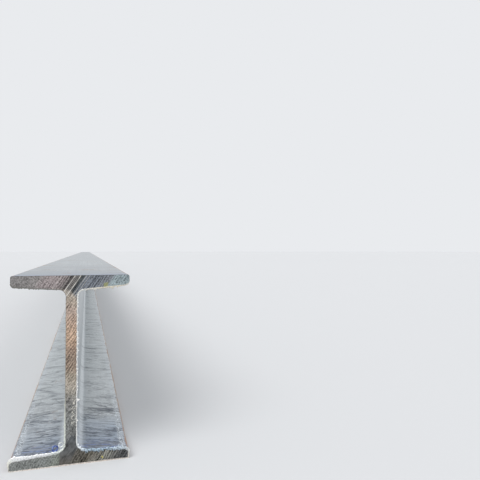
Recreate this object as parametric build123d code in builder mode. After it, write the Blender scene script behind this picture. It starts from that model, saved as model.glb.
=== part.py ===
"""A length of hot-rolled steel beam with an H section, as it leaves the stockyard saw.

The beam is one rolled piece. It stands on the outer face of its lower flange, with its web
upright and its length along Y. The origin is at the middle of that resting face.
"""

import os
from math import radians, tan

from build123d import *

# Driving dimensions, in millimetres, and the slope in degrees
beam_length = 6000.0
section_depth = 150.0
flange_width = 90.0
web_thickness = 8.4
flange_thickness = 9.8
flange_slope = 5.0
root_radius = 6.0
toe_radius = 3.0
edge_radius = 1.5

# A flange is thickest at the web and thinnest at its toes, because its inner face slopes.
# Its stated thickness is read midway between the web's face and the toe.
web_face = web_thickness / 2
flange_reach = flange_width / 2
gauge_point = (web_face + flange_reach) / 2


def inner_face_height(across):
    """How high the upper flange's inner face is above mid-depth, at a distance from the web's middle."""
    return section_depth / 2 - flange_thickness + (across - gauge_point) * tan(radians(flange_slope))


# The upper flange's corners, from the root on the right round to the root on the left
right_corners = [
    (web_face, inner_face_height(web_face)),
    (flange_reach, inner_face_height(flange_reach)),
    (flange_reach, section_depth / 2),
]
left_corners = [(-across, height) for across, height in reversed(right_corners)]
upper_flange = right_corners + left_corners
corner_radii = [root_radius, toe_radius, edge_radius, edge_radius, toe_radius, root_radius]

# The lower flange is the upper one turned half round, and the web is the two sides between them
lower_flange = [(-across, -height) for across, height in upper_flange]

# The section lies square to the length, with its own centre at mid-depth
section_plane = Plane.XZ.shift_origin((0, 0, section_depth / 2))

with BuildPart() as h_beam:
    with BuildSketch(section_plane):
        with BuildLine():
            FilletPolyline(*upper_flange, *lower_flange, radius=corner_radii * 2, close=True)
        make_face()
    extrude(amount=beam_length / 2, both=True)

h_beam.part.label = "h_beam"

os.makedirs("parts", exist_ok=True)
export_step(h_beam.part, "parts/h_beam.step")
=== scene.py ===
"""Dresses a length of rolled steel beam: mill scale, both sawn ends with their burr, and a plain studio."""

import math

import bmesh
import bpy
import numpy
from bpy.props import FloatProperty, FloatVectorProperty, PointerProperty
from mathutils import Matrix, Vector, noise


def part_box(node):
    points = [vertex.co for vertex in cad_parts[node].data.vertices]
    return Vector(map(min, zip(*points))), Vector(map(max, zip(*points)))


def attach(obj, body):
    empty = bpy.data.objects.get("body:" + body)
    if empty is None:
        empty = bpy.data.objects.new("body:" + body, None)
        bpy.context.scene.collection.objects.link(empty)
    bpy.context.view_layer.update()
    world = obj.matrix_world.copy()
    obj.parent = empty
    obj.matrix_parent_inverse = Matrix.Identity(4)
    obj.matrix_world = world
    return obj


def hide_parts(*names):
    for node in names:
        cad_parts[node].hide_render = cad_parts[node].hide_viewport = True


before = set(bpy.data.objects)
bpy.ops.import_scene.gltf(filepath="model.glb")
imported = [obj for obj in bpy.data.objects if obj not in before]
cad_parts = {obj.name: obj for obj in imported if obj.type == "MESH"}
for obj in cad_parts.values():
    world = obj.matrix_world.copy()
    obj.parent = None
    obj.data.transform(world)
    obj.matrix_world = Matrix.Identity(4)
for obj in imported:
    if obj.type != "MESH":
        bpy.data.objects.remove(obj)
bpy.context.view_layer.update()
beam_low, beam_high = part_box("h_beam")
mid_depth = (beam_low.z + beam_high.z) / 2

bl_info = {
    "name": "Rolled Steel Beam",
    "version": (1, 0, 0),
    "blender": (4, 5, 0),
    "location": "View3D > Sidebar > Beam",
    "description": "Builds a length of rolled steel beam with mill scale, sawn ends and burr",
    "category": "Add Mesh",
}

MM = 0.001
# Two places no farther apart than this are one place
SAME_PLACE = 0.001 * MM


def linear(hex_colour):
    """The linear colour, with full alpha, of an sRGB hex value such as #8f949c."""
    parts = [int(hex_colour[i : i + 2], 16) / 255 for i in (1, 3, 5)]
    return tuple(c / 12.92 if c <= 0.04045 else ((c + 0.055) / 1.055) ** 2.4 for c in parts) + (1.0,)


# What a user would change


class BeamSection(bpy.types.PropertyGroup):
    """The rolled section and the length it is sawn to."""

    length: FloatProperty(
        name="Length", description="From one sawn end to the other",
        default=beam_high.y - beam_low.y, min=0.1, unit="LENGTH",
    )
    depth: FloatProperty(
        name="Depth", description="Over the outer faces of both flanges",
        default=beam_high.z - beam_low.z, min=0.05, unit="LENGTH",
    )
    flange_width: FloatProperty(
        name="Flange width", description="From toe to toe",
        default=beam_high.x - beam_low.x, min=0.03, unit="LENGTH",
    )
    web_thickness: FloatProperty(
        name="Web thickness", description="Between the web's two faces",
        default=8.4 * MM, min=0.003, unit="LENGTH",
    )
    flange_thickness: FloatProperty(
        name="Flange thickness", description="Midway between the web's face and the toe",
        default=9.8 * MM, min=0.003, unit="LENGTH",
    )
    flange_slope: FloatProperty(
        name="Flange slope", description="How far the inner face leans from level",
        default=math.radians(5), min=0.0, max=math.radians(12), unit="ROTATION", subtype="ANGLE",
    )
    root_radius: FloatProperty(
        name="Root radius", description="Between the web and a flange",
        default=6 * MM, min=0.001, unit="LENGTH",
    )
    toe_radius: FloatProperty(
        name="Toe radius", description="At a toe's inner edge",
        default=3 * MM, min=0.0005, unit="LENGTH",
    )
    edge_radius: FloatProperty(
        name="Edge radius", description="At a toe's outer edge",
        default=1.5 * MM, min=0.0005, unit="LENGTH",
    )


class SawCut(bpy.types.PropertyGroup):
    """What the saw leaves on an end."""

    slice_depth: FloatProperty(
        name="End slice", description="How much of the length belongs to each sawn end",
        default=2.4 * MM, min=0.0015, unit="LENGTH",
    )
    set_back: FloatProperty(
        name="Set back", description="How far the cut face lies behind the front of its burr",
        default=0.25 * MM, min=0.0001, unit="LENGTH",
    )
    step_height: FloatProperty(
        name="Saw step", description="How far the corner that parted last is sunk below the rest of the cut",
        default=0.5 * MM, min=0.0001, unit="LENGTH",
    )
    burr_step: FloatProperty(
        name="Burr step", description="From one point of the burr's ragged edge to the next",
        default=0.25 * MM, min=0.0002, unit="LENGTH",
    )
    crumple: FloatProperty(
        name="Burr crumple", description="How far the burr is crumpled either way",
        default=0.15 * MM, min=0.0, unit="LENGTH",
    )
    line_angle: FloatProperty(
        name="Saw line angle", description="How steeply the saw lines climb to the right",
        default=math.radians(56), unit="ROTATION", subtype="ANGLE",
    )
    line_pitch: FloatProperty(
        name="Saw line pitch", description="From one saw line to the next",
        default=1.9 * MM, min=0.0005, unit="LENGTH",
    )


class SteelColours(bpy.types.PropertyGroup):
    """Colours of the steel, its scale, its rust and the paint on it."""

    scale_light: FloatVectorProperty(
        name="Scale, light", description="Mill scale where it is thin",
        default=linear("#d0d4d6"), size=4, min=0, max=1, subtype="COLOR",
    )
    scale_dark: FloatVectorProperty(
        name="Scale, dark", description="Mill scale where it is thick",
        default=linear("#a7acb0"), size=4, min=0, max=1, subtype="COLOR",
    )
    # Painted reflection: the scale's colour away from the sawn ends, lighter as if seen at a glance
    scale_far_sheen: FloatVectorProperty(
        name="Scale, pale", description="Mill scale along the beam, away from its sawn ends",
        default=linear("#ced4d5"), size=4, min=0, max=1, subtype="COLOR",
    )
    scale_blue: FloatVectorProperty(
        name="Scale, blue", description="Mill scale near a sawn end, where it has a blue bloom",
        default=linear("#9db1cb"), size=4, min=0, max=1, subtype="COLOR",
    )
    # Partly painted shade of the wrinkles' relief
    wrinkle_and_shade: FloatVectorProperty(
        name="Wrinkle", description="Hairline wrinkles across the scale",
        default=linear("#5f646d"), size=4, min=0, max=1, subtype="COLOR",
    )
    rust: FloatVectorProperty(
        name="Rust", description="Thin orange-brown rust along the toes",
        default=linear("#a87a50"), size=4, min=0, max=1, subtype="COLOR",
    )
    rubbed: FloatVectorProperty(
        name="Rubbed steel", description="The smooth corner that parted last",
        default=linear("#696a6a"), size=4, min=0, max=1, subtype="COLOR",
    )
    floor: FloatVectorProperty(
        name="Floor", description="The studio's floor",
        default=linear("#e0e1e2"), size=4, min=0, max=1, subtype="COLOR",
    )


def section():
    return bpy.context.scene.beam_section


def saw():
    return bpy.context.scene.beam_saw


def colours():
    return bpy.context.scene.beam_colours


# Materials


def live(source):
    """A node's first output that is in use, or the value itself if it isn't a node."""
    if isinstance(source, bpy.types.Node):
        return next(output for output in source.outputs if output.enabled)
    return source


def add_node(tree, kind, inputs=None, stops=None, **settings):
    """Adds a shader node of this kind. inputs gives its sockets, by name or number, a value, a node or a
    node's output, stops are a ramp's places and colours, and settings are the node's own."""
    node = tree.nodes.new("ShaderNode" + kind)
    for name, value in settings.items():
        setattr(node, name, value)
    for name, value in (inputs or {}).items():
        value = live(value)
        if isinstance(value, bpy.types.NodeSocket):
            tree.links.new(value, node.inputs[name])
        else:
            node.inputs[name].default_value = value
    if stops:
        ramp = node.color_ramp
        while len(ramp.elements) < len(stops):
            ramp.elements.new(1.0)
        for element, (place, colour) in zip(ramp.elements, stops):
            element.position, element.color = place, colour
    return node


def new_material(name):
    """A material with a shader and object coordinates: (material, tree, shader, coordinates)."""
    material = bpy.data.materials.new(name)
    material.use_nodes = True
    tree = material.node_tree
    tree.nodes.clear()
    shader = add_node(tree, "BsdfPrincipled")
    add_node(tree, "OutputMaterial", {"Surface": shader})
    place = add_node(tree, "TexCoord").outputs["Object"]
    return material, tree, shader, place


def feed(tree, shader, **sources):
    """Links nodes to the shader's sockets. An underscore in a name stands for a space."""
    for name, node in sources.items():
        tree.links.new(live(node), shader.inputs[name.replace("_", " ")])


def window(tree, value, low, high, blur):
    """One between low and high, and nothing beyond, with soft ends."""
    sides = [
        add_node(
            tree, "MapRange", {0: value, 1: place - blur, 2: place + blur, 3: first, 4: last},
            interpolation_type="SMOOTHSTEP",
        )
        for place, first, last in ((low, 0.0, 1.0), (high, 1.0, 0.0))
    ]
    return add_node(tree, "Math", {0: sides[0], 1: sides[1]}, operation="MULTIPLY")


def weigh(tree, parts, offset=0.0):
    """The sum of some outputs, each times its share, which may be an output too."""
    total = offset
    for source, share in parts:
        total = add_node(tree, "Math", {0: source, 1: share, 2: total}, operation="MULTIPLY_ADD")
    return total


def stretched(tree, place, sizes, turn=(0, 0, 0), detail=2.0, roughness=0.55, warp=0.0):
    """Noise with these distances from crest to crest along each axis, in metres."""
    halves = [size / 2 for size in sizes]
    mapped = add_node(
        tree, "Mapping", {"Vector": place, "Rotation": turn, "Scale": halves}, vector_type="TEXTURE"
    )
    return add_node(
        tree, "TexNoise",
        {"Vector": mapped, "Scale": 1.0, "Detail": detail, "Roughness": roughness, "Distortion": warp},
    )


def strayed(tree, place, noise_node, reach):
    """Places that a noise pushes about, by up to half of this reach along each axis."""
    colour = noise_node.outputs["Color"]
    push = add_node(tree, "VectorMath", {0: colour, 1: (0.5, 0.5, 0.5)}, operation="SUBTRACT")
    push = add_node(tree, "VectorMath", {0: push, 1: reach}, operation="MULTIPLY")
    return add_node(tree, "VectorMath", {0: place, 1: push}, operation="ADD")


def saw_turn():
    """Turns a pattern so that its long side follows the saw's lines."""
    return (0, math.pi / 2 - saw().line_angle, 0)


# The scale's wrinkles, from hairlines to creases: from crest to crest across and along the beam, in
# millimetres, how many degrees they turn, how wide and how dark they are drawn, their darkness partly their
# own colour and partly painted shade of their relief, and how much of them lasts away from a sawn end
WRINKLES = (
    (30, 5.5, -12, 0.045, 0.80, 0.32), (40, 12, -16, 0.036, 0.75, 0.40), (110, 24, -10, 0.028, 0.65, 0.80),
    (300, 85, -7, 0.030, 0.35, 1.00),
)


def wrinkles(tree, place, near, most):
    """How dark the scale's wrinkles draw it, partly their own colour and partly painted shade of their
    relief, and their relief. near is one at a sawn end, and most is one on the flanges' inner faces, which
    have most of them, and less in the roots that the rolls rubbed smooth."""
    # They wander: their place is pushed along the length by a noise some 80 mm across
    slow = add_node(tree, "TexNoise", {"Vector": place, "Scale": 12.0, "Detail": 1.0})
    wandered = strayed(tree, place, slow, (0.0, 30 * MM, 0.0))
    # Each size follows the level lines of a noise, which wind, fork and close as creases do, and is
    # broken up in patches. The hairlines are mostly near the sawn ends
    dark, relief = 0.0, 0.0
    for across, along, degrees, wide, deep, lasting in WRINKLES:
        sizes = (across * MM, along * MM, across * MM)
        swell = stretched(tree, wandered, sizes, (0, 0, math.radians(degrees)), roughness=0.5, warp=0.2)
        level = add_node(tree, "Math", {0: swell, 1: 0.5}, operation="SUBTRACT")
        level = add_node(tree, "Math", {0: level}, operation="ABSOLUTE")
        line = add_node(tree, "MapRange", {0: level, 1: 0.0, 2: wide, 3: deep, 4: 0.0})
        patches = add_node(tree, "TexNoise", {"Vector": wandered, "Scale": 0.35 / sizes[1], "Detail": 2.0})
        broken = add_node(tree, "MapRange", {0: patches, 1: 0.40, 2: 0.56, 3: 0.25, 4: 1.0})
        strong = add_node(tree, "MapRange", {0: near, 1: 0.0, 2: 1.0, 3: lasting, 4: 1.0})
        broken = add_node(tree, "Math", {0: broken, 1: strong}, operation="MULTIPLY")
        dark = weigh(tree, ((line, broken),), dark)
        relief = weigh(tree, ((swell, 0.4),), relief)
    share = add_node(tree, "MapRange", {0: most, 1: 0.0, 2: 1.0, 3: 0.14, 4: 1.0})
    dark = add_node(tree, "Math", {0: dark, 1: share}, operation="MULTIPLY")
    dark = add_node(tree, "Math", {0: dark, 1: 0.85}, operation="MINIMUM")
    relief = add_node(tree, "Mix", {0: share, 2: 0.56, 3: relief}, data_type="FLOAT")
    relief = weigh(tree, ((dark, -0.8),), relief)
    return dark, relief


def mill_scale():
    """Mill scale is the hard oxide skin that hot rolling leaves. It gives a half-matt blue-grey sheen,
    finely wrinkled across the length, with painted shade in the wrinkles' lines, lighter where the rolls
    rubbed the roots, with a painted highlight on the toes' roundings, a painted reflection that lightens it
    away from the sawn ends, and a line of rust along each toe."""
    material, tree, shader, place = new_material("mill_scale")
    c, s = colours(), section()
    # Where a place lies: how far from the web's middle, from mid-depth and from the nearer sawn end.
    # inner is one inside the flanges' outer faces, near one close to a sawn end, flange one on the
    # flanges' inner faces
    axes = add_node(tree, "SeparateXYZ", {0: place})
    from_web = add_node(tree, "Math", {0: axes.outputs["X"]}, operation="ABSOLUTE")
    from_mid = add_node(tree, "Math", {0: axes.outputs["Z"], 1: mid_depth}, operation="SUBTRACT")
    from_mid = add_node(tree, "Math", {0: from_mid}, operation="ABSOLUTE")
    along = add_node(tree, "Math", {0: axes.outputs["Y"]}, operation="ABSOLUTE")
    to_end = add_node(tree, "Math", {0: s.length / 2, 1: along}, operation="SUBTRACT")
    inner = add_node(
        tree, "MapRange", {0: from_mid, 1: s.depth / 2 - 4 * MM, 2: s.depth / 2 - 1.5 * MM, 3: 1.0, 4: 0.0}
    )
    near = add_node(
        tree, "MapRange", {0: to_end, 1: 0.04, 2: 0.22, 3: 1.0, 4: 0.0}, interpolation_type="SMOOTHSTEP"
    )
    flange = window(tree, from_mid, s.depth / 2 - 20 * MM, s.depth / 2 - 2.5 * MM, 3 * MM)
    before_toe = window(tree, from_web, -1.0, s.flange_width / 2 - 1.5 * MM, 1 * MM)
    flange = add_node(tree, "Math", {0: flange, 1: before_toe}, operation="MULTIPLY")
    root = window(tree, from_web, s.web_thickness / 2, s.web_thickness / 2 + s.root_radius, 2.6 * MM)
    unrubbed = add_node(tree, "Math", {0: root, 1: -0.75, 2: 1.0}, operation="MULTIPLY_ADD")
    unrubbed = add_node(tree, "Math", {0: unrubbed, 1: flange}, operation="MULTIPLY")
    dark, relief = wrinkles(tree, place, near, unrubbed)

    # Mottling is patches of thick and thin scale some 60 mm across, speckle its grains about 1 mm across,
    # and streaks follow the rolling
    mottle = add_node(tree, "TexNoise", {"Vector": place, "Scale": 16.0, "Detail": 5.0, "Roughness": 0.62})
    speckle = add_node(tree, "TexNoise", {"Vector": place, "Scale": 900.0, "Detail": 3.0, "Roughness": 0.65})
    streak = stretched(tree, place, (5 * MM, 800 * MM, 5 * MM))
    tone = weigh(tree, ((relief, 0.65), (mottle, 0.55), (streak, 0.25), (flange, 0.12)), -0.38)
    body = add_node(
        tree, "ValToRGB", {0: tone}, stops=[(0.38, tuple(c.scale_dark)), (0.62, tuple(c.scale_light))]
    )
    # The painted reflection of the far sheen, the blue bloom and the saw's tempering are strongest on the
    # flanges' inner faces
    most = add_node(tree, "MapRange", {0: flange, 1: 0.0, 2: 1.0, 3: 0.35, 4: 1.0})
    # Painted reflection: the scale is made lighter away from the sawn ends, standing in for the bright sky
    # seen at a glance along the beam
    far_sheen = add_node(tree, "MapRange", {0: to_end, 1: 0.0, 2: 0.32, 3: 0.02, 4: 0.78})
    far_sheen = add_node(tree, "Math", {0: far_sheen, 1: most}, operation="MULTIPLY")
    body = add_node(tree, "Mix", {0: far_sheen, 6: body, 7: tuple(c.scale_far_sheen)}, data_type="RGBA")
    # The blue bloom fades 90 mm from a sawn end, in patches
    bloom = weigh(tree, ((mottle, 0.9), (to_end, -5.0)), 0.35)
    bloom = add_node(tree, "MapRange", {0: bloom, 1: 0.3, 2: 0.75, 3: 0.0, 4: 0.55})
    bloom = add_node(tree, "Math", {0: bloom, 1: most}, operation="MULTIPLY")
    body = add_node(tree, "Mix", {0: bloom, 6: body, 7: tuple(c.scale_blue)}, data_type="RGBA")
    # The saw's heat has tempered it purple, lavender and blue in streaks up to 24 mm behind the cut
    heat = stretched(tree, place, (26 * MM, 6 * MM, 26 * MM), detail=3.0)
    tempers = ((0.39, "#62606a"), (0.46, "#9ca3af"), (0.53, "#a0abc0"), (0.60, "#6880c8"))
    stops = [(share, linear(colour)) for share, colour in tempers]
    tempered = add_node(tree, "ValToRGB", {0: heat}, stops=stops)
    hot = add_node(tree, "MapRange", {0: to_end, 1: 0.010, 2: 0.026, 3: 0.8, 4: 0.0})
    hot = add_node(tree, "Math", {0: hot, 1: most}, operation="MULTIPLY")
    body = add_node(tree, "Mix", {0: hot, 6: body, 7: tempered}, data_type="RGBA")
    # The rolls rub the roots lighter, and a painted highlight, #cfd5d8, lies on the toes' roundings where
    # they catch the light
    toe = window(tree, from_web, s.flange_width / 2 - 7.0 * MM, s.flange_width / 2 - 2.4 * MM, 1.2 * MM)
    rubbed = add_node(
        tree, "Math", {0: weigh(tree, ((root, 0.68), (toe, 0.45))), 1: inner}, operation="MULTIPLY"
    )
    body = add_node(tree, "Mix", {0: rubbed, 6: body, 7: linear("#cfd5d8")}, data_type="RGBA")
    grain = add_node(tree, "MapRange", {0: speckle, 1: 0.32, 2: 0.68, 3: 0.84, 4: 1.1})
    body = add_node(tree, "VectorMath", {0: body, 1: grain}, operation="MULTIPLY")
    # The wrinkles' lines, drawn darker than their own colour as painted shade of their relief
    body = add_node(tree, "Mix", {0: dark, 6: body, 7: tuple(c.wrinkle_and_shade)}, data_type="RGBA")
    # Painted highlight: white glints a few millimetres long beside the toes, most of them near the sawn
    # ends, stand for light caught on the scale's crests
    painted_glints = stretched(tree, place, (2.2 * MM, 5.5 * MM, 2.2 * MM))
    painted_glints = add_node(tree, "MapRange", {0: painted_glints, 1: 0.51, 2: 0.60, 3: 0.0, 4: 0.85})
    glinting = add_node(tree, "MapRange", {0: near, 1: 0.0, 2: 1.0, 3: 0.3, 4: 1.0})
    for part in (toe, inner, glinting):
        painted_glints = add_node(tree, "Math", {0: painted_glints, 1: part}, operation="MULTIPLY")
    body = add_node(tree, "Mix", {0: painted_glints, 6: body, 7: linear("#e9eef4")}, data_type="RGBA")

    # Rust is a line round each toe's edges, patches some 30 mm across between them, and a thin bloom
    # elsewhere
    edge = add_node(
        tree, "MapRange",
        {0: from_web, 1: s.flange_width / 2 - 2.4 * MM, 2: s.flange_width / 2 - 0.8 * MM, 3: -0.10, 4: 0.36},
    )
    face = add_node(tree, "Math", {0: from_web, 1: s.flange_width / 2 - 0.06 * MM}, operation="GREATER_THAN")
    edge = weigh(tree, ((face, -0.20),), edge)
    lasting = stretched(tree, place, (3 * MM, 40 * MM, 3 * MM), detail=3.0)
    lasting = add_node(tree, "MapRange", {0: lasting, 1: 0.36, 2: 0.60, 3: 0.35, 4: 1.1})
    edge = add_node(tree, "Math", {0: edge, 1: lasting}, operation="MULTIPLY")
    patches = add_node(tree, "TexNoise", {"Vector": place, "Scale": 30.0, "Detail": 6.0, "Roughness": 0.68})
    outer = add_node(tree, "Math", {0: inner, 1: -0.07, 2: 0.07}, operation="MULTIPLY_ADD")
    rust = weigh(tree, ((patches, 1.0), (edge, 1.0), (outer, 1.0)))
    rust = add_node(tree, "MapRange", {0: rust, 1: 0.56, 2: 0.84, 3: 0.0, 4: 0.8})
    body = add_node(tree, "Mix", {0: rust, 6: body, 7: tuple(c.rust)}, data_type="RGBA")

    metal = add_node(tree, "MapRange", {0: rust, 1: 0.0, 2: 0.7, 3: 0.85, 4: 0.05})
    rough = weigh(tree, ((mottle, 0.2), (rust, 0.3), (dark, 0.15)), 0.30)
    height = weigh(tree, ((relief, 1.0), (speckle, 0.12), (rust, 0.3)))
    bump = add_node(tree, "Bump", {"Height": height, "Strength": 0.5, "Distance": 0.5 * MM})
    feed(tree, shader, Base_Color=body, Metallic=metal, Roughness=rough, Normal=bump)
    return material


# The cut's colour along each stroke of the section: a place in shares of the depth, the colour there, and
# how clearly the saw's lines show
UPPER_CUT = (
    (-0.300, "#868382", 0.4), (-0.180, "#8b8785", 0.4), (-0.140, "#9f9594", 0.5), (-0.070, "#9b9190", 0.9),
    (-0.040, "#7a7271", 1.1), (-0.018, "#5a5655", 1.3), (0.020, "#504d4c", 1.3), (0.032, "#4c4f4f", 1.1),
    (0.044, "#565a5d", 1.0), (0.060, "#6c7179", 1.0), (0.195, "#7b7e83", 0.9), (0.207, "#97a3a6", 0.5),
    (0.300, "#97a3a6", 0.4),
)
WEB_CUT = (
    (0.08, "#77787b", 0.6), (0.17, "#848583", 0.5), (0.24, "#8b8c89", 0.4), (0.33, "#918f8c", 0.5),
    (0.37, "#9d988f", 0.7), (0.42, "#b0a79b", 0.8), (0.47, "#a99e8f", 0.8), (0.51, "#9b8a7b", 1.0),
    (0.57, "#978678", 0.9), (0.61, "#a08b7b", 0.9), (0.655, "#bda38d", 1.0), (0.70, "#c3a993", 1.0),
    (0.75, "#b8a190", 0.9), (0.81, "#b09e92", 1.0), (0.87, "#b0a496", 0.9), (0.92, "#a1998f", 0.8),
)
LOWER_CUT = (
    (-0.300, "#888a87", 0.3), (-0.120, "#898c89", 0.3), (-0.060, "#878b83", 0.4), (0.010, "#64615c", 0.8),
    (0.030, "#5e5b55", 1.0), (0.095, "#67635a", 1.4), (0.130, "#75726b", 2.1), (0.160, "#7f7d75", 2.1),
    (0.190, "#83827b", 2.1), (0.215, "#6d6c69", 1.6), (0.240, "#5a5a59", 1.2), (0.300, "#5f6061", 0.8),
)
# Bright scores across the head of the web: where each crosses mid-flange, half its width, its brightness
SCORES = (
    (-0.0740, 0.0026, 0.35), (-0.0560, 0.0022, 0.25), (-0.0300, 0.0022, 0.40), (-0.0044, 0.0040, 1.00),
    (0.0059, 0.0022, 0.45), (0.0138, 0.0024, 0.35), (0.0241, 0.0042, 1.00), (0.0537, 0.0030, 0.62),
    (0.0697, 0.0030, 0.55), (0.0900, 0.0022, 0.25),
)
# Dabs of marking paint on the near end: x from, x to, z from, z to, in shares of the depth, and the colour
PAINT = ((0.168, 0.192, 0.925, 0.962, "#9b9c62"), (0.160, 0.172, 0.016, 0.031, "#c9bd5e"))


def sawn_steel():
    """Sawn steel is bare, torn by the blade. It gives a satin grey in lines that climb to the right,
    bright on their crests, with the first rust as a tan bloom on the web."""
    material, tree, shader, place = new_material("sawn_steel")
    s, depth, reach = saw(), section().depth, section().flange_width / 2
    turn = saw_turn()

    # The saw's lines, broad bands where it bit deeper, and faint lines across them where the steel dragged
    ruled = add_node(tree, "Mapping", {"Vector": place, "Rotation": turn}, vector_type="TEXTURE")
    teeth = add_node(
        tree, "TexWave",
        {
            "Vector": ruled, "Scale": math.tau / 20 / s.line_pitch,
            "Distortion": 7.0, "Detail": 3.0, "Detail Scale": 0.5,
        },
        wave_type="BANDS", bands_direction="X",
    )
    lines = stretched(tree, place, (0.8 * s.line_pitch, 1.0, 30 * MM), turn, detail=3.0, roughness=0.65)
    bands = stretched(tree, place, (4 * s.line_pitch, 1.0, 60 * MM), turn, detail=1.0)
    across = stretched(tree, place, (1.5 * MM, 1.0, 8 * MM), (0, math.radians(-40), 0), detail=1.0)
    # Grain is torn steel about 1.2 mm across, cloud its patches some 10 mm across
    grain = add_node(tree, "TexNoise", {"Vector": place, "Scale": 830.0, "Detail": 4.0, "Roughness": 0.72})
    cloud = add_node(tree, "TexNoise", {"Vector": place, "Scale": 90.0, "Detail": 4.0, "Roughness": 0.6})

    # Places along the strokes are strayed a little, so that no tint has a straight border. On the flanges
    # they are read along the saw's lines. A ramp's alpha holds how clearly the lines show
    axes = add_node(tree, "SeparateXYZ", {0: place})
    loose = add_node(tree, "SeparateXYZ", {0: strayed(tree, place, cloud, (9 * MM, 9 * MM, 9 * MM))})
    lean = 1 / math.tan(s.line_angle)
    strokes = []
    for source, middle, rows in ((axes, 0.965, UPPER_CUT), (loose, 0.03, LOWER_CUT)):
        slanted = weigh(
            tree, ((source.outputs["X"], 1.0), (source.outputs["Z"], -lean)), middle * depth * lean
        )
        share = add_node(tree, "MapRange", {0: slanted, 1: -reach, 2: reach, 3: 0.0, 4: 1.0})
        stops = [
            ((x * depth + reach) / (2 * reach), linear(colour)[:3] + (lined,)) for x, colour, lined in rows
        ]
        strokes.append((share, add_node(tree, "ValToRGB", {0: share}, stops=stops)))
    (across_head, upper), (_, lower) = strokes
    share = add_node(tree, "Math", {0: loose.outputs["Z"], 1: depth}, operation="DIVIDE")
    stops = [(z, linear(colour)[:3] + (lined,)) for z, colour, lined in WEB_CUT]
    web = add_node(tree, "ValToRGB", {0: share}, stops=stops)
    # The upper stroke's tints reach farther down on the web's right side than on its left
    tipped = weigh(tree, ((loose.outputs["X"], 0.9), (loose.outputs["Z"], 1.0)))
    head = window(tree, tipped, 0.900 * depth, 2.0 * depth, 0.018 * depth)
    above = window(tree, loose.outputs["Z"], 0.86 * depth, 2.0 * depth, 0.03 * depth)
    head = add_node(tree, "Math", {0: head, 1: above}, operation="MULTIPLY")
    sure = window(tree, loose.outputs["Z"], 0.925 * depth, 2.0 * depth, 0.01 * depth)
    head = add_node(tree, "Math", {0: head, 1: sure}, operation="MAXIMUM")
    foot = window(tree, loose.outputs["Z"], -0.2 * depth, 0.085 * depth, 0.02 * depth)
    tint = add_node(tree, "Mix", {0: head, 6: web, 7: upper}, data_type="RGBA")
    tint = add_node(tree, "Mix", {0: foot, 6: tint, 7: lower}, data_type="RGBA")
    lined = add_node(
        tree, "Mix", {0: head, 2: web.outputs["Alpha"], 3: upper.outputs["Alpha"]}, data_type="FLOAT"
    )
    lined = add_node(tree, "Mix", {0: foot, 2: lined, 3: lower.outputs["Alpha"]}, data_type="FLOAT")

    # A noise is 0.5 on average, so half of the shares' sum comes off, to keep the tone at 0.5 as well
    plain = weigh(tree, ((grain, 1.3), (cloud, 0.3), (across, 0.25)), 0.5 - 0.5 * 1.85)
    ruled = weigh(tree, ((teeth, 0.20), (lines, 1.1), (bands, 0.3)), -0.5 * 1.60)
    tone = weigh(tree, ((ruled, lined), (plain, 1.0)))
    shade = add_node(tree, "MapRange", {0: tone, 1: 0.15, 2: 0.85, 3: 0.12, 4: 2.0}, clamp=True)
    body = add_node(tree, "VectorMath", {0: tint, 1: shade}, operation="MULTIPLY")

    # Low on the web the steel was torn: dark pits, and slivers folded over along its right side
    low_web = window(tree, loose.outputs["Z"], 0.12 * depth, 0.36 * depth, 0.03 * depth)
    pits = stretched(tree, place, (4.5 * MM, 1.0, 7 * MM), turn, detail=2.0)
    pits = add_node(tree, "MapRange", {0: pits, 1: 0.50, 2: 0.38, 3: 0.0, 4: 0.6})
    pits = add_node(tree, "Math", {0: pits, 1: low_web}, operation="MULTIPLY")
    body = add_node(tree, "Mix", {0: pits, 6: body, 7: linear("#4c4d4c")}, data_type="RGBA")
    right = window(tree, loose.outputs["X"], 0.002 * depth, 0.1 * depth, 0.004 * depth)
    torn = window(tree, loose.outputs["Z"], 0.22 * depth, 0.35 * depth, 0.02 * depth)
    slivers = stretched(tree, place, (2.0 * MM, 1.0, 6 * MM), (0, math.radians(48), 0), detail=1.5)
    slivers = add_node(tree, "MapRange", {0: slivers, 1: 0.54, 2: 0.60, 3: 0.0, 4: 0.85})
    for part in (right, torn):
        slivers = add_node(tree, "Math", {0: slivers, 1: part}, operation="MULTIPLY")
    body = add_node(tree, "Mix", {0: slivers, 6: body, 7: linear("#e6e2d6")}, data_type="RGBA")

    stops = [(0.0, linear("#000000"))]
    for x, half, bright in SCORES:
        for place_x, value in ((x - half, 0.0), (x, bright), (x + half, 0.0)):
            stops.append(((place_x * depth + reach) / (2 * reach), (value, value, value, 1.0)))
    scored = add_node(tree, "ValToRGB", {0: across_head}, stops=stops)
    worn = stretched(tree, place, (3 * MM, 1.0, 12 * MM), turn, detail=2.0)
    worn = add_node(tree, "MapRange", {0: worn, 1: 0.36, 2: 0.50, 3: 0.5, 4: 1.0})
    reached = window(tree, loose.outputs["Z"], 0.875 * depth, 2.0 * depth, 0.02 * depth)
    for part in (worn, reached):
        scored = add_node(tree, "Math", {0: scored, 1: part}, operation="MULTIPLY")
    body = add_node(tree, "Mix", {0: scored, 6: body, 7: linear("#f6f2ea")}, data_type="RGBA")

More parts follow.
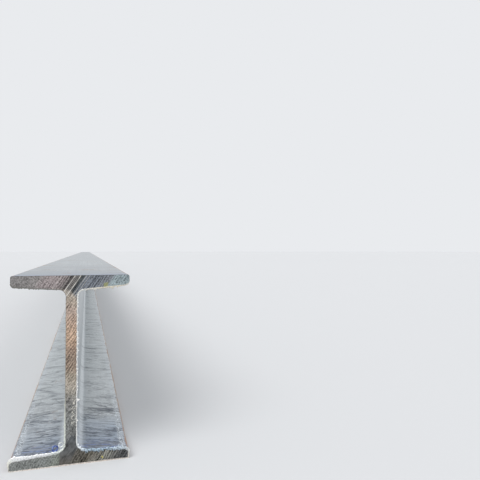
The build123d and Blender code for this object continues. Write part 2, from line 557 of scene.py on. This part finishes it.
    painted = 0.0
    front = add_node(tree, "Math", {0: axes.outputs["Y"], 1: 0.0}, operation="LESS_THAN")
    for x_low, x_high, z_low, z_high, colour in PAINT:
        wide = window(tree, loose.outputs["X"], x_low * depth, x_high * depth, 0.006 * depth)
        tall = window(tree, loose.outputs["Z"], z_low * depth, z_high * depth, 0.006 * depth)
        dab = add_node(tree, "Math", {0: wide, 1: tall}, operation="MULTIPLY")
        dab = weigh(tree, ((dab, front), (grain, 0.8)), -0.4)
        dab = add_node(tree, "MapRange", {0: dab, 1: 0.25, 2: 0.8, 3: 0.0, 4: 0.75})
        body = add_node(tree, "Mix", {0: dab, 6: body, 7: linear(colour)}, data_type="RGBA")
        painted = add_node(tree, "Math", {0: dab, 1: painted}, operation="ADD")

    metal = add_node(tree, "Math", {0: 1.0, 1: painted}, operation="SUBTRACT")
    rough = add_node(tree, "MapRange", {0: tone, 1: 0.2, 2: 0.8, 3: 0.52, 4: 0.34})
    relief = weigh(tree, ((tone, 1.0), (scored, 0.4), (pits, -0.8), (slivers, 1.0)))
    bump = add_node(tree, "Bump", {"Height": relief, "Strength": 0.6, "Distance": 0.25 * MM})
    feed(tree, shader, Base_Color=body, Metallic=metal, Roughness=rough, Normal=bump)
    return material


def rubbed_steel():
    """Rubbed steel is the corner that parts last, polished by the blade's side. It gives a flat dark grey
    with faint lines, browner towards the sole."""
    material, tree, shader, place = new_material("rubbed_steel")
    depth = section().depth
    # Its lines follow the saw's, finer ones cross them, and its patches are about 6 mm across
    lines = stretched(tree, place, (1.4 * saw().line_pitch, 1.0, 14 * MM), saw_turn(), detail=3.0)
    fine = stretched(tree, place, (0.6 * MM, 1.0, 9 * MM), (0, math.radians(38), 0))
    cloud = add_node(tree, "TexNoise", {"Vector": place, "Scale": 170.0, "Detail": 4.0, "Roughness": 0.65})
    tone = weigh(tree, ((lines, 0.6), (fine, 0.3), (cloud, 0.7)), -0.3)
    shade = add_node(tree, "MapRange", {0: tone, 1: 0.28, 2: 0.72, 3: 0.35, 4: 1.70})
    height = add_node(tree, "SeparateXYZ", {0: place})
    height = add_node(tree, "Math", {0: height.outputs["Z"], 1: 0.16 * depth}, operation="DIVIDE")
    tint = add_node(
        tree, "ValToRGB", {0: height},
        stops=[(0.0, linear("#67625c")), (0.45, tuple(colours().rubbed)), (1.0, linear("#606365"))],
    )
    body = add_node(tree, "VectorMath", {0: tint, 1: shade}, operation="MULTIPLY")
    shader.inputs["Metallic"].default_value = 1.0
    shader.inputs["Roughness"].default_value = 0.42
    bump = add_node(tree, "Bump", {"Height": tone, "Strength": 0.3, "Distance": 0.15 * MM})
    feed(tree, shader, Base_Color=body, Normal=bump)
    return material


def torn_burr():
    """Burr is steel drawn out thin by the saw's teeth. It gives torn bright metal, with painted shade at its
    foot where it is folded in and a painted highlight on its crest. The mesh stores its colour round the
    end, with painted light and shade in it, its crest and where it is holed like lace."""
    material, tree, shader, place = new_material("torn_burr")
    colour = add_node(tree, "Attribute", attribute_name="burr_colour_and_light").outputs["Color"]
    crest = add_node(tree, "Attribute", attribute_name="burr_crest").outputs["Fac"]
    lace = add_node(tree, "Attribute", attribute_name="burr_lace").outputs["Fac"]
    crumple = add_node(tree, "TexNoise", {"Vector": place, "Scale": 900.0, "Detail": 3.0, "Roughness": 0.65})
    # Striations follow the saw's lines, 0.7 mm apart
    striae = stretched(tree, place, (0.7 * MM, 1.0, 5 * MM), saw_turn(), roughness=0.6)
    # The crest's share is a painted highlight on the burr's crest and painted shade at its foot
    tone = weigh(tree, ((crumple, 0.7), (striae, 0.7), (crest, 0.32)), -0.36)
    shade = add_node(tree, "MapRange", {0: tone, 1: 0.25, 2: 0.60, 3: 0.40, 4: 1.08})
    body = add_node(tree, "VectorMath", {0: colour, 1: shade}, operation="MULTIPLY")
    # Its holes are about 1.2 mm apart and show the shade behind
    holes = add_node(tree, "TexNoise", {"Vector": place, "Scale": 800.0, "Detail": 2.0})
    holes = add_node(tree, "MapRange", {0: holes, 1: 0.50, 2: 0.42, 3: 0.0, 4: 0.75})
    holes = add_node(tree, "Math", {0: holes, 1: lace}, operation="MULTIPLY")
    body = add_node(tree, "Mix", {0: holes, 6: body, 7: linear("#4d5660")}, data_type="RGBA")
    rough = add_node(tree, "MapRange", {0: tone, 1: 0.2, 2: 0.7, 3: 0.5, 4: 0.3})
    shader.inputs["Metallic"].default_value = 1.0
    relief = weigh(tree, ((tone, 1.0), (holes, -1.0)))
    bump = add_node(tree, "Bump", {"Height": relief, "Strength": 0.6, "Distance": 0.2 * MM})
    feed(tree, shader, Base_Color=body, Roughness=rough, Normal=bump)
    return material


def swarf_steel(name, stops):
    """Swarf is a hot ribbon of steel from the cut. It gives a glossy strip, bare or tempered blue, whose
    colour changes every millimetre or two."""
    material, tree, shader, place = new_material(name)
    heat = add_node(tree, "TexNoise", {"Vector": place, "Scale": 700.0, "Detail": 1.5})
    body = add_node(tree, "ValToRGB", {0: heat}, stops=[(share, linear(colour)) for share, colour in stops])
    shader.inputs["Metallic"].default_value = 1.0
    shader.inputs["Roughness"].default_value = 0.3
    feed(tree, shader, Base_Color=body)
    return material


# Shapes


def finish_piece(bm, name, materials):
    """Makes an object of the bmesh, with its materials, riding on the beam's body."""
    mesh = bpy.data.meshes.new(name)
    bm.to_mesh(mesh)
    bm.free()
    for material in materials:
        mesh.materials.append(material)
    piece = bpy.data.objects.new(name, mesh)
    bpy.context.scene.collection.objects.link(piece)
    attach(piece, "root")
    return piece


def rolled_prism(y_low, y_high):
    """A closed length of the section, its corners rounded as the rolls leave them."""
    s = section()
    web_face, reach = s.web_thickness / 2, s.flange_width / 2
    gauge = (web_face + reach) / 2
    slope = math.tan(s.flange_slope)
    root_height = s.depth / 2 - s.flange_thickness + (web_face - gauge) * slope
    toe_height = s.depth / 2 - s.flange_thickness + (reach - gauge) * slope

    right = [(web_face, root_height), (reach, toe_height), (reach, s.depth / 2)]
    upper = right + [(-x, z) for x, z in reversed(right)]
    outline = upper + [(-x, -z) for x, z in upper]

    bm = bmesh.new()
    start = bm.faces.new([bm.verts.new((x, y_low, mid_depth + z)) for x, z in outline])
    grown = bmesh.ops.extrude_face_region(bm, geom=[start])["geom"]
    moved = [v for v in grown if isinstance(v, bmesh.types.BMVert)]
    bmesh.ops.translate(bm, vec=(0, y_high - y_low, 0), verts=moved)
    bmesh.ops.recalc_face_normals(bm, faces=bm.faces)

    def long_edges(x, z):
        """The four edges along the length at a corner of the section, one in each quarter."""
        return [
            e for e in bm.edges
            if abs(e.verts[0].co.y - e.verts[1].co.y) > (y_high - y_low) / 2
            and abs(abs(e.verts[0].co.x) - x) < SAME_PLACE
            and abs(abs(e.verts[0].co.z - mid_depth) - z) < SAME_PLACE
        ]

    wide = math.pi / 2 + s.flange_slope
    for x, z, radius, angle, steps in (
        (web_face, root_height, s.root_radius, wide, 10),
        (reach, toe_height, s.toe_radius, wide, 7),
        (reach, s.depth / 2, s.edge_radius, math.pi / 2, 5),
    ):
        bmesh.ops.bevel(
            bm, geom=long_edges(x, z), offset=radius / math.tan(angle / 2), offset_type="OFFSET",
            segments=steps, profile=0.5, affect="EDGES", material=-1, clamp_overlap=False,
        )
    return bm


def smooth_sides(bm):
    """Shades the rolled faces smooth and keeps the cut's edge sharp."""
    for face in bm.faces:
        face.smooth = abs(face.normal.y) < 0.5
    for edge in bm.edges:
        edge.smooth = edge.calc_face_angle(math.pi) < math.radians(25)


class BEAM_OT_rolled_length(bpy.types.Operator):
    """Rolls the beam's length between its two sawn ends"""

    bl_idname = "beam.rolled_length"
    bl_label = "Rolled length"

    def execute(self, context):
        slice_depth = saw().slice_depth
        bm = rolled_prism(beam_low.y + slice_depth, beam_high.y - slice_depth)
        smooth_sides(bm)
        piece = finish_piece(bm, "rolled_length", [mill_scale()])
        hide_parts("h_beam")
        return {"FINISHED"}


# The corner that parts last, at the foot of the web, as a loop of places in shares of the depth. It rises
# to the side between its fourth and fifth places
LAST_CORNER = (
    (0.0046, 0.157), (-0.0547, 0.0633), (-0.057, -0.010), (-0.022, -0.010), (0.034, 0.086), (0.030, 0.130),
)


def sawn_end(name, y_cut, inward, materials):
    """A slice of the beam that carries one sawn face, with the corner that parted last sunk into it.
    inward is 1 or -1, the way into the beam along Y."""
    s, depth = saw(), section().depth
    y_face = y_cut + inward * s.set_back
    y_back = y_cut + inward * s.slice_depth
    bm = rolled_prism(min(y_face, y_back), max(y_face, y_back))
    smooth_sides(bm)
    corner = [Vector((x * depth, y_face, z * depth)) for x, z in LAST_CORNER]
    sides = [(a, b - a) for a, b in zip(corner, corner[1:] + corner[:1])]

    def cut_faces():
        """The faces that lie in the cut."""
        return [
            f for f in bm.faces
            if abs(f.calc_center_median().y - y_face) < 10 * SAME_PLACE and abs(f.normal.y) > 0.9
        ]

    for start, way in sides:
        normal = Vector((-way.z, 0, way.x)).normalized()
        parts = {part for face in cut_faces() for part in (face, *face.edges, *face.verts)}
        bmesh.ops.bisect_plane(bm, geom=list(parts), plane_co=start, plane_no=normal, dist=SAME_PLACE)
    for face in cut_faces():
        face.material_index = 1
    last = [
        face for face in cut_faces()
        if all(way.cross(face.calc_center_median() - start).y < 0 for start, way in sides)
    ]
    if not last:
        raise RuntimeError(f"{name}: the corner that parted last wasn't found")
    grown = bmesh.ops.extrude_face_region(bm, geom=last)["geom"]
    bmesh.ops.delete(bm, geom=last, context="FACES")
    for face in grown:
        if isinstance(face, bmesh.types.BMFace):
            face.material_index = 2
    # A shear sinks it, by next to nothing along its hinge and by the whole step at its second place
    sunk = [g for g in grown if isinstance(g, bmesh.types.BMVert)]
    hinge, way = sides[3]
    away = Vector((-way.z, 0, way.x)).normalized()
    dip = inward * s.step_height / (corner[1] - hinge).dot(away)
    sink = Matrix.Identity(4)
    sink[1][0], sink[1][2] = dip * away.x, dip * away.z
    sink[1][3] = inward * 0.02 * MM - dip * hinge.dot(away)
    bmesh.ops.transform(bm, matrix=sink, verts=sunk)
    for edge in bm.edges:
        if edge.is_manifold and edge.calc_face_angle(0) > math.radians(40):
            edge.smooth = False
    piece = finish_piece(bm, name, materials)
    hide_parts("h_beam")


class BEAM_OT_sawn_ends(bpy.types.Operator):
    """Saws both ends"""

    bl_idname = "beam.sawn_ends"
    bl_label = "Sawn ends"

    def execute(self, context):
        materials = [bpy.data.materials["mill_scale"], sawn_steel(), rubbed_steel()]
        sawn_end("near_sawn_end", beam_low.y, 1, materials)
        sawn_end("far_sawn_end", beam_high.y, -1, materials)
        return {"FINISHED"}


# Burr round an end, clockwise from under the left toe: a place on the outline in shares of the depth, how
# far the burr stands off the edge and how far it laps over the cut, in millimetres, how ragged it is, and
# its colour, which holds painted light and shade: sunlit white along the lower left, blue-white where it lay
# in shade on the right, and dull grey in shade under the upper flange
BURR = (
    (-0.300, 0.012, 0.3, 0.3, 0.3, "#e8e4d8"), (-0.300, 0.034, 0.9, 0.5, 0.4, "#f4f2e6"),
    (-0.294, 0.053, 2.2, 1.0, 0.15, "#fffef4"), (-0.280, 0.056, 2.9, 1.0, 0.10, "#fffffa"),
    (-0.240, 0.060, 2.5, 1.1, 0.10, "#ffffff"), (-0.200, 0.063, 1.8, 1.3, 0.15, "#ffffff"),
    (-0.160, 0.066, 1.4, 1.4, 0.2, "#ffffff"), (-0.120, 0.069, 1.1, 1.6, 0.2, "#ffffff"),
    (-0.085, 0.072, 0.7, 1.7, 0.2, "#f8fcf8"), (-0.062, 0.076, 0.7, 1.1, 0.3, "#e9eee8"),
    (-0.042, 0.088, 1.0, 0.6, 0.3, "#f0f4ee"), (-0.028, 0.125, 1.0, 0.5, 0.3, "#ebefe6"),
    (-0.028, 0.210, 0.9, 0.45, 0.4, "#e6e9de"), (-0.028, 0.320, 0.6, 0.3, 0.5, "#d2d2c6"),
    (-0.028, 0.380, 0.3, 0.2, 0.6, "#b5b2a8"), (-0.028, 0.800, 0.3, 0.2, 0.8, "#b5b2a8"),
    (-0.042, 0.914, 0.2, 0.2, 0.5, "#8a8680"), (-0.090, 0.929, 0.7, 0.3, 0.4, "#8f8c88"),
    (-0.160, 0.934, 1.0, 0.3, 0.4, "#8f8c88"), (-0.250, 0.941, 1.2, 0.3, 0.4, "#85827e"),
    (-0.286, 0.944, 1.6, 0.3, 0.4, "#85827e"), (-0.298, 0.953, 0.4, 0.2, 0.5, "#85827e"),
    (-0.300, 0.965, 0.0, 0.2, 0.5, "#85827e"), (0.300, 0.985, 0.0, 0.2, 0.5, "#97a3a6"),
    (0.300, 0.965, 0.3, 0.2, 0.8, "#aab4b6"), (0.294, 0.947, 0.6, 0.3, 0.9, "#d6d1c6"),
    (0.240, 0.940, 1.0, 0.2, 0.5, "#e0d8c6"), (0.160, 0.934, 1.1, 0.2, 0.5, "#e2dac8"),
    (0.085, 0.928, 1.1, 0.3, 0.6, "#dcdad4"), (0.042, 0.914, 0.9, 0.3, 0.9, "#dadad6"),
    (0.028, 0.880, 0.8, 0.3, 1.1, "#f6f5f0"), (0.028, 0.500, 0.9, 0.3, 1.1, "#fbfaf6"),
    (0.028, 0.350, 0.9, 0.3, 1.1, "#fbfaf6"), (0.028, 0.230, 0.8, 0.3, 1.0, "#f6f5f0"),
    (0.028, 0.160, 0.9, 0.2, 0.8, "#f2f3f0"), (0.028, 0.115, 1.3, 0.2, 0.6, "#f4f6f4"),
    (0.042, 0.086, 1.4, 0.3, 0.6, "#eef3f5"), (0.064, 0.074, 1.4, 1.2, 1.0, "#d9e6ef"),
    (0.085, 0.072, 1.0, 1.9, 1.0, "#bccfdd"), (0.120, 0.069, 0.9, 2.0, 1.0, "#b9cede"),
    (0.160, 0.066, 1.1, 1.6, 1.0, "#bccfde"), (0.200, 0.063, 1.5, 1.4, 1.0, "#c1d2df"),
    (0.240, 0.060, 1.8, 1.2, 0.7, "#ccd9e3"), (0.280, 0.056, 1.8, 1.2, 0.5, "#d7e1e8"),
    (0.296, 0.050, 1.2, 1.0, 0.5, "#e4e7e7"), (0.300, 0.030, 0.8, 0.5, 0.4, "#e6e3dc"),
    (0.294, 0.004, 0.3, 0.8, 0.3, "#eae2d8"), (0.200, 0.000, 0.0, 1.0, 0.2, "#f2e7dd"),
    (-0.200, 0.000, 0.0, 0.9, 0.2, "#f3e9df"), (-0.294, 0.002, 0.0, 0.7, 0.3, "#f3eee5"),
)


# What each vertex of a burr needs while it is shaped: its place on the outline, the way out, the way that
# the teeth drag it, and its height, lap and wave
WORK_LAYERS = ("base", "out", "lean", "size")


def cut_outline(step):
    """The section's outline as a ring of vertices about a step apart: (bmesh, vertices in order,
    clockwise). Its layers come first, because each new one drops the vertices found before it."""
    bm = rolled_prism(0.0, 1 * MM)
    for layer in WORK_LAYERS:
        bm.verts.layers.float_vector.new(layer)
    bm.verts.layers.float_color.new("burr_colour_and_light")
    bm.verts.layers.float.new("burr_crest")
    bm.verts.layers.float.new("burr_lace")
    face = min(bm.faces, key=lambda f: f.calc_center_median().y)
    bmesh.ops.delete(bm, geom=[f for f in bm.faces if f is not face], context="FACES")
    for edge in list(bm.edges):
        cuts = int(edge.calc_length() / step)
        if cuts:
            bmesh.ops.subdivide_edges(bm, edges=[edge], cuts=cuts)
    bm.faces.ensure_lookup_table()
    ring = [loop.vert for loop in bm.faces[0].loops]
    # Seen from the near end, a positive sum means that it runs anticlockwise
    if sum(a.co.x * b.co.z - b.co.x * a.co.z for a, b in zip(ring, ring[1:] + ring[:1])) > 0:
        ring.reverse()
    bmesh.ops.delete(bm, geom=bm.faces[:], context="FACES_ONLY")
    return bm, ring


def burr_curves(ring, share):
    """The values of BURR at each vertex of the ring: height, lap, raggedness, red, green and blue."""
    depth, places = section().depth, [vert.co.copy() for vert in ring]
    lengths = [(b - a).length for a, b in zip(places, places[1:] + places[:1])]
    along = numpy.concatenate(([0.0], numpy.cumsum(lengths)[:-1]))
    knots = []
    for x, z, tall, lap, ragged, colour in BURR:
        spot = Vector((x * depth, 0, z * depth))
        nearest = min(range(len(places)), key=lambda i: (places[i] - spot).length)
        knots.append((along[nearest], tall * share * MM, lap * share * MM, ragged, *linear(colour)[:3]))
    knots = numpy.array(sorted(knots))
    return [numpy.interp(along, knots[:, 0], knots[:, j], period=sum(lengths)) for j in range(1, 7)]


# Rows of the burr, from the cut round its crest and back into the beam: how far out each lies, as a share
# of the burr's lap, as a share of its height and as a push in millimetres, how many millimetres behind
# the burr's front it lies, and how near the crest it is
BURR_ROWS = (
    (-1.00, 0.00, -0.10, 0.40, 0.0), (-0.90, 0.00, 0.00, 0.23, 0.0), (-0.55, 0.00, 0.00, 0.10, 0.3),
    (-0.15, 0.10, 0.00, 0.03, 0.6), (0.00, 0.45, 0.00, 0.03, 0.8), (0.00, 0.80, 0.00, 0.10, 1.0),
    (0.00, 1.00, 0.00, 0.26, 1.0), (0.00, 0.84, 0.00, 0.42, 0.7), (0.00, 0.40, 0.00, 0.60, 0.3),
    (0.00, 0.00, -0.15, 1.10, 0.0), (-1.00, 0.00, -0.10, 0.40, 0.0),
)


def add_burr(name, y_cut, inward, share, seed, material):
    """One end's burr: a closed band, rooted in the beam, that laps over the cut's edge and stands off it."""
    s = saw()
    # Blender seeds its vector noise from the clock, so a seed is set here, for the same burr in every run
    noise.seed_set(int(seed))
    bm, ring = cut_outline(s.burr_step)
    curves = burr_curves(ring, share)
    vectors = bm.verts.layers.float_vector
    colour, crest = bm.verts.layers.float_color["burr_colour_and_light"], bm.verts.layers.float["burr_crest"]
    lace = bm.verts.layers.float["burr_lace"]
    drag = Vector((math.cos(s.line_angle), 0, math.sin(s.line_angle)))
    places = [vert.co.copy() for vert in ring]
    for i, vert in enumerate(ring):
        way = places[(i + 1) % len(places)] - places[i - 1]
        out = Vector((-way.z, 0, way.x)).normalized()
        spot = Vector((places[i].x, places[i].z, seed))
        tall, lap, ragged, *rgb = (curve[i] for curve in curves)
        # Barbs are narrow and sharp, the dips between them broad
        barb = max(0.0, noise.noise(spot / (1.3 * MM))) ** 2
        torn = 0.6 * noise.noise(spot / (3.6 * MM)) + 6.0 * barb - 0.3
        tall = max(0.08 * MM, tall * (1 + ragged * torn))
        torn = noise.noise(spot / (2.2 * MM)) + noise.noise(spot / (0.8 * MM))
        vert[lace] = min(1.0, ragged * lap / (1.2 * MM))
        lap = max(0.10 * MM, lap * (1 + ragged * torn))
        vert[vectors["base"]] = places[i]
        vert[vectors["out"]] = out
        # Where the teeth leave the steel they drag the burr along with them
        vert[vectors["lean"]] = (drag - out * drag.dot(out)) * max(0.0, drag.dot(out)) * 0.8
        vert[vectors["size"]] = (tall, lap, abs(noise.noise(spot / (2.0 * MM))) * 0.45 * MM)
        vert[colour] = (*rgb, 1.0)

    def settle(verts, row):
        """Moves copies of the ring to a row of the burr, crumpled a little."""
        lap_share, tall_share, push, deep, nearness = row
        for vert in verts:
            tall, lap, wave = vert[vectors["size"]]
            far_out = lap_share * lap + tall_share * tall + push * MM
            spot = vert[vectors["base"]] + vert[vectors["out"]] * far_out
            spot += vert[vectors["lean"]] * tall_share * tall
            spot.y = y_cut + inward * (deep * MM + wave * tall_share)
            crumple = noise.noise_vector((spot + Vector((seed, 0, 0))) / (0.8 * MM)) * s.crumple * nearness
            crumple.y = abs(crumple.y) * inward
            spot += crumple
            spot.z = min(max(spot.z, beam_low.z + 0.02 * MM), beam_high.z - 0.02 * MM)
            vert.co = spot
            vert[crest] = nearness

    edges = list({edge for vert in ring for edge in vert.link_edges})
    settle(ring, BURR_ROWS[0])
    last = ring
    for row in BURR_ROWS[1:]:
        grown = bmesh.ops.extrude_edge_only(bm, edges=edges)["geom"]
        last = [g for g in grown if isinstance(g, bmesh.types.BMVert)]
        new = set(last)
        edges = [g for g in grown if isinstance(g, bmesh.types.BMEdge) and set(g.verts) <= new]
        settle(last, row)
    # The last row lies on the first one, but three metres out it may be a quarter of a micrometre off
    bmesh.ops.remove_doubles(bm, verts=ring + last, dist=SAME_PLACE)
    bmesh.ops.recalc_face_normals(bm, faces=bm.faces)
    for face in bm.faces:
        face.smooth = True
    for layer in WORK_LAYERS:
        vectors.remove(vectors[layer])
    piece = finish_piece(bm, name, [material])
    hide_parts("h_beam")


class BEAM_OT_burr(bpy.types.Operator):
    """Leaves the saw's burr round both ends"""

    bl_idname = "beam.burr"
    bl_label = "Burr"

    def execute(self, context):
        material = torn_burr()
        add_burr("near_burr", beam_low.y, 1, 1.0, 3.0, material)
        add_burr("far_burr", beam_high.y, -1, 0.6, 8.0, material)
        return {"FINISHED"}


# Curls of swarf in the near end's left root: name, centre from the near end's foot, outer radius and
# width, all in millimetres, and the places and colours of its ramp
SWARF = (
    ("bright_swarf", (-7.1, 1.3, 16.3), 2.0, 1.2, ((0.35, "#c9cdca"), (0.50, "#f3f6f2"), (0.65, "#ffffff"))),
    ("blued_swarf", (-11.5, 1.4, 13.9), 2.3, 1.3, ((0.42, "#2c479c"), (0.54, "#4a6cc0"), (0.66, "#b4c6ee"))),
)
# How often a curl is wound on itself, how thick its strip is, how far it drifts as it winds, how far it
# is tipped
CURL_TURNS = 2.1
CURL_THICKNESS = 0.32 * MM
CURL_DRIFT = 0.015 * MM
CURL_TIP = math.radians(-14)


def curl(name, centre, radius, width, material):
    """One curl of swarf: a narrow strip wound on itself, open towards the end's front."""
    bm = bmesh.new()
    ends = [bm.verts.new((centre.x, centre.y + w, centre.z - radius)) for w in (-width / 2, width / 2)]
    edge = bm.edges.new(ends)
    steps = int(30 * CURL_TURNS)
    bmesh.ops.spin(
        bm, geom=ends + [edge], cent=centre, axis=(0, 1, 0), dvec=(0, CURL_DRIFT, 0),
        angle=math.tau * CURL_TURNS, steps=steps,
    )
    for i, vert in enumerate(bm.verts):
        shrink = 1 - 0.5 * (i // 2) / steps
        vert.co.x = centre.x + (vert.co.x - centre.x) * shrink
        vert.co.z = centre.z + (vert.co.z - centre.z) * shrink
    bmesh.ops.solidify(bm, geom=bm.faces[:], thickness=CURL_THICKNESS)
    bmesh.ops.rotate(bm, verts=bm.verts, cent=centre, matrix=Matrix.Rotation(CURL_TIP, 3, "X"))
    bmesh.ops.recalc_face_normals(bm, faces=bm.faces)
    for face in bm.faces:
        face.smooth = True
    return finish_piece(bm, name, [material])


class BEAM_OT_swarf(bpy.types.Operator):
    """Leaves two curls of swarf in the near end's left root"""

    bl_idname = "beam.swarf"
    bl_label = "Swarf"

    def execute(self, context):
        foot = Vector((0, beam_low.y, beam_low.z))
        for name, centre, radius, width, stops in SWARF:
            curl(name, foot + Vector(centre) * MM, radius * MM, width * MM, swarf_steel(name, stops))
        return {"FINISHED"}


# Studio

FLOOR_RADIUS = 60.0
# Lamps: name, strength, and in degrees how wide it looks, how high it stands and how far to the right
LAMPS = (("key_light", 1.6, 40, 48, -48), ("fill_light", 0.5, 60, 35, 60))
# The camera: its place from the near end's foot in metres, its turn right and up in degrees, and its lens
CAMERA_PLACE = (0.0110, -0.4145, 0.1699)
CAMERA_TURN = (17.35, 1.21)
CAMERA_LENS, CAMERA_SENSOR = 36.86, 36.0


def view_rotation(right, up):
    """The turn of a camera or lamp that looks along the beam, then this many degrees to the right and up."""
    yaw, pitch = math.radians(right), math.radians(up)
    forward = Vector((math.sin(yaw) * math.cos(pitch), math.cos(yaw) * math.cos(pitch), math.sin(pitch)))
    return forward.to_track_quat("-Z", "Y")


class BEAM_OT_studio(bpy.types.Operator):
    """Sets the floor, the light and the camera"""

    bl_idname = "beam.studio"
    bl_label = "Studio"

    def execute(self, context):
        scene = context.scene
        bm = bmesh.new()
        bmesh.ops.create_circle(bm, cap_ends=True, segments=96, radius=FLOOR_RADIUS)
        bmesh.ops.translate(bm, vec=(0, 0, beam_low.z), verts=bm.verts)
        mesh = bpy.data.meshes.new("studio_floor")
        bm.to_mesh(mesh)
        bm.free()
        floor = bpy.data.objects.new("studio_floor", mesh)
        scene.collection.objects.link(floor)
        material, _, shader, _ = new_material("studio_floor")
        shader.inputs["Base Color"].default_value = colours().floor
        shader.inputs["Roughness"].default_value = 0.9
        mesh.materials.append(material)

        world = bpy.data.worlds.new("studio")
        scene.world = world
        world.use_nodes = True
        tree = world.node_tree
        tree.nodes.clear()
        # The eye and mirrored rays see a plain backdrop, and the rest are lit by a dimmer sky
        path, seen = add_node(tree, "LightPath").outputs, 0.0
        for ray in ("Is Camera Ray", "Is Glossy Ray", "Is Transmission Ray"):
            seen = add_node(tree, "Math", {0: path[ray], 1: seen}, operation="MAXIMUM")
        light = add_node(tree, "Background", {"Color": linear("#f4f6fa"), "Strength": 0.62})
        backdrop = add_node(tree, "Background", {"Color": linear("#e9ebee"), "Strength": 1.0})
        mixed = add_node(tree, "MixShader", {0: seen, 1: light, 2: backdrop})
        add_node(tree, "OutputWorld", {"Surface": mixed})

        for name, energy, angle, height, to_right in LAMPS:
            lamp = bpy.data.lights.new(name, "SUN")
            lamp.energy, lamp.angle = energy, math.radians(angle)
            stand = bpy.data.objects.new(name, lamp)
            scene.collection.objects.link(stand)
            stand.rotation_mode = "QUATERNION"
            stand.rotation_quaternion = view_rotation(-to_right, -height)

        camera = bpy.data.cameras.new("camera")
        camera.lens, camera.sensor_width = CAMERA_LENS, CAMERA_SENSOR
        camera.clip_start, camera.clip_end = 0.01, 200.0
        seat = bpy.data.objects.new("camera", camera)
        scene.collection.objects.link(seat)
        seat.location = Vector((0, beam_low.y, beam_low.z)) + Vector(CAMERA_PLACE)
        seat.rotation_mode = "QUATERNION"
        seat.rotation_quaternion = view_rotation(*CAMERA_TURN)
        scene.camera = seat
        scene.view_settings.view_transform = "Standard"
        return {"FINISHED"}


class BEAM_PT_panel(bpy.types.Panel):
    """Shows the beam's settings and a button for each step"""

    bl_label = "Rolled steel beam"
    bl_idname = "BEAM_PT_panel"
    bl_space_type = "VIEW_3D"
    bl_region_type = "UI"
    bl_category = "Beam"

    def draw(self, context):
        layout = self.layout
        for group in (context.scene.beam_section, context.scene.beam_saw, context.scene.beam_colours):
            box = layout.box()
            for name in group.__annotations__:
                box.prop(group, name)
        for operator in STEPS:
            layout.operator(operator.bl_idname)


STEPS = (BEAM_OT_rolled_length, BEAM_OT_sawn_ends, BEAM_OT_burr, BEAM_OT_swarf, BEAM_OT_studio)
CLASSES = (BeamSection, SawCut, SteelColours) + STEPS + (BEAM_PT_panel,)


def register():
    for cls in CLASSES:
        bpy.utils.register_class(cls)
    bpy.types.Scene.beam_section = PointerProperty(type=BeamSection)
    bpy.types.Scene.beam_saw = PointerProperty(type=SawCut)
    bpy.types.Scene.beam_colours = PointerProperty(type=SteelColours)


def unregister():
    for name in ("beam_section", "beam_saw", "beam_colours"):
        delattr(bpy.types.Scene, name)
    for cls in reversed(CLASSES):
        bpy.utils.unregister_class(cls)


def main():
    register()
    bpy.ops.beam.rolled_length()
    bpy.ops.beam.sawn_ends()
    bpy.ops.beam.burr()
    bpy.ops.beam.swarf()
    bpy.ops.beam.studio()


if __name__ == "__main__":
    main()
